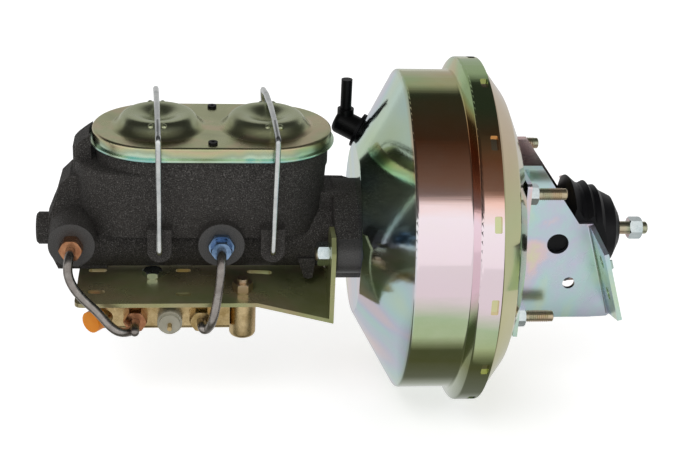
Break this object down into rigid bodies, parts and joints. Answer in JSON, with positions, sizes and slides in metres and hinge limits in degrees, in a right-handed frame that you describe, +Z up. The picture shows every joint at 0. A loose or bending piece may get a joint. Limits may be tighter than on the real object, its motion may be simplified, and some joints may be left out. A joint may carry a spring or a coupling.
{
  "type": "vacuum brake booster with master cylinder",
  "caption": "Vacuum brake booster with a tandem master cylinder, lidded reservoir with wire bails, combination valve on a side bracket, brake pipes and angled firewall brackets.",
  "frame": {"origin": "on the booster axis, at the rear shell's flat rear face where the firewall brackets seat", "axes": "+X along the booster axis towards the firewall, +Z up, -Y towards the outlet ports"},
  "size_m": [0.4416, 0.2476, 0.2476],
  "materials": {
    "zinc_yellow": "yellow zinc passivated pressed steel",
    "zinc_white": "clear zinc plated steel",
    "cast_iron": "rough sand-cast iron, dark grey",
    "steel": "bare steel",
    "rubber": "matt black rubber",
    "brass": "machined brass",
    "copper_zinc": "copper-coloured zinc plated steel",
    "blue_zinc": "blue passivated steel",
    "plastic_white": "white nylon",
    "plastic_black": "black nylon",
    "plastic_orange": "orange plastic cap"
  },
  "bodies": {
    "booster": {"front_shell": "zinc_yellow", "rear_shell": "zinc_yellow", "near_bracket": "zinc_yellow", "far_bracket": "zinc_yellow", "rear_studs": "zinc_yellow", "front_studs": "zinc_yellow", "reservoir_lid": "zinc_yellow", "valve_bracket": "zinc_yellow", "valve_stud": "zinc_yellow", "valve_stud_nut": "zinc_yellow", "rear_stud_nuts": "zinc_white", "front_stud_nuts": "zinc_white", "valve_bolt": "zinc_white", "master_cylinder": "cast_iron", "front_end_plug": "cast_iron", "front_pipe": "steel", "rear_pipe": "steel", "return_spring": "steel", "primary_spring": "steel", "secondary_spring": "steel", "piston_stop": "steel", "dust_boot": "rubber", "diaphragm": "rubber", "neck_seal": "rubber", "pilot_seal": "rubber", "lid_gasket": "rubber", "check_grommet": "rubber", "combination_valve": "brass", "valve_end_plug": "brass", "switch_pin": "brass", "rear_valve_nut": "brass", "front_outlet_nut": "copper_zinc", "front_valve_nut": "copper_zinc", "rear_outlet_nut": "blue_zinc", "warning_switch": "plastic_white", "neck_bearing": "plastic_white", "vent_plugs": "plastic_black", "port_cap": "plastic_orange"},
    "power_piston": {"valve_hub": "plastic_black", "diaphragm_plate": "zinc_white", "reaction_disc": "rubber", "output_rod": "steel", "air_filter": "rubber"},
    "pedal_rod": {"pushrod": "zinc_yellow", "jam_nut": "zinc_white", "valve_plunger": "steel"},
    "primary": {"primary_piston": "steel", "primary_cups": "rubber"},
    "secondary": {"secondary_piston": "steel", "secondary_cups": "rubber"},
    "front_bail": {"front_bail": "zinc_white"},
    "rear_bail": {"rear_bail": "zinc_white"},
    "check_valve": {"check_valve": "plastic_black"},
    "spool": {"valve_spool": "steel"}
  },
  "joints": [
    {"name": "power_piston_slide", "type": "slide", "parent": "booster", "child": "power_piston", "axis": [-1, 0, 0], "range_m": [0, 0.035], "stiffness_N_per_m": 2500, "springref_m": -0.03, "deforming": ["return_spring", "diaphragm"]},
    {"name": "pedal_rod_slide", "type": "slide", "parent": "booster", "child": "pedal_rod", "axis": [-1, 0, 0], "range_m": [0, 0.035], "deforming": ["dust_boot"]},
    {"name": "primary_slide", "type": "slide", "parent": "booster", "child": "primary", "axis": [-1, 0, 0], "range_m": [0, 0.035], "deforming": ["primary_spring"]},
    {"name": "secondary_slide", "type": "slide", "parent": "booster", "child": "secondary", "axis": [-1, 0, 0], "range_m": [0, 0.0175], "deforming": ["secondary_spring"]},
    {"name": "front_bail_hinge", "type": "hinge", "parent": "booster", "child": "front_bail", "pos_m": [-0.2481, 0, 0.0035], "axis": [0, -1, 0], "range_deg": [0, 72]},
    {"name": "rear_bail_hinge", "type": "hinge", "parent": "booster", "child": "rear_bail", "pos_m": [-0.1708, 0, 0.0035], "axis": [0, 1, 0], "range_deg": [0, 30]},
    {"name": "check_valve_swivel", "type": "hinge", "parent": "booster", "child": "check_valve", "pos_m": [-0.10259, 0.05374, 0.05374], "axis": [-0.8722, 0.3458, 0.3458], "range_deg": [-20, 20]},
    {"name": "valve_spool_slide", "type": "slide", "parent": "booster", "child": "spool", "axis": [1, 0, 0], "range_m": [-0.0025, 0.0025]}
  ],
  "couplings": [
    {"joint": "pedal_rod_slide", "follows": "power_piston_slide", "ratio": 1},
    {"joint": "primary_slide", "follows": "power_piston_slide", "ratio": 1},
    {"joint": "secondary_slide", "follows": "power_piston_slide", "ratio": 0.5}
  ]
}
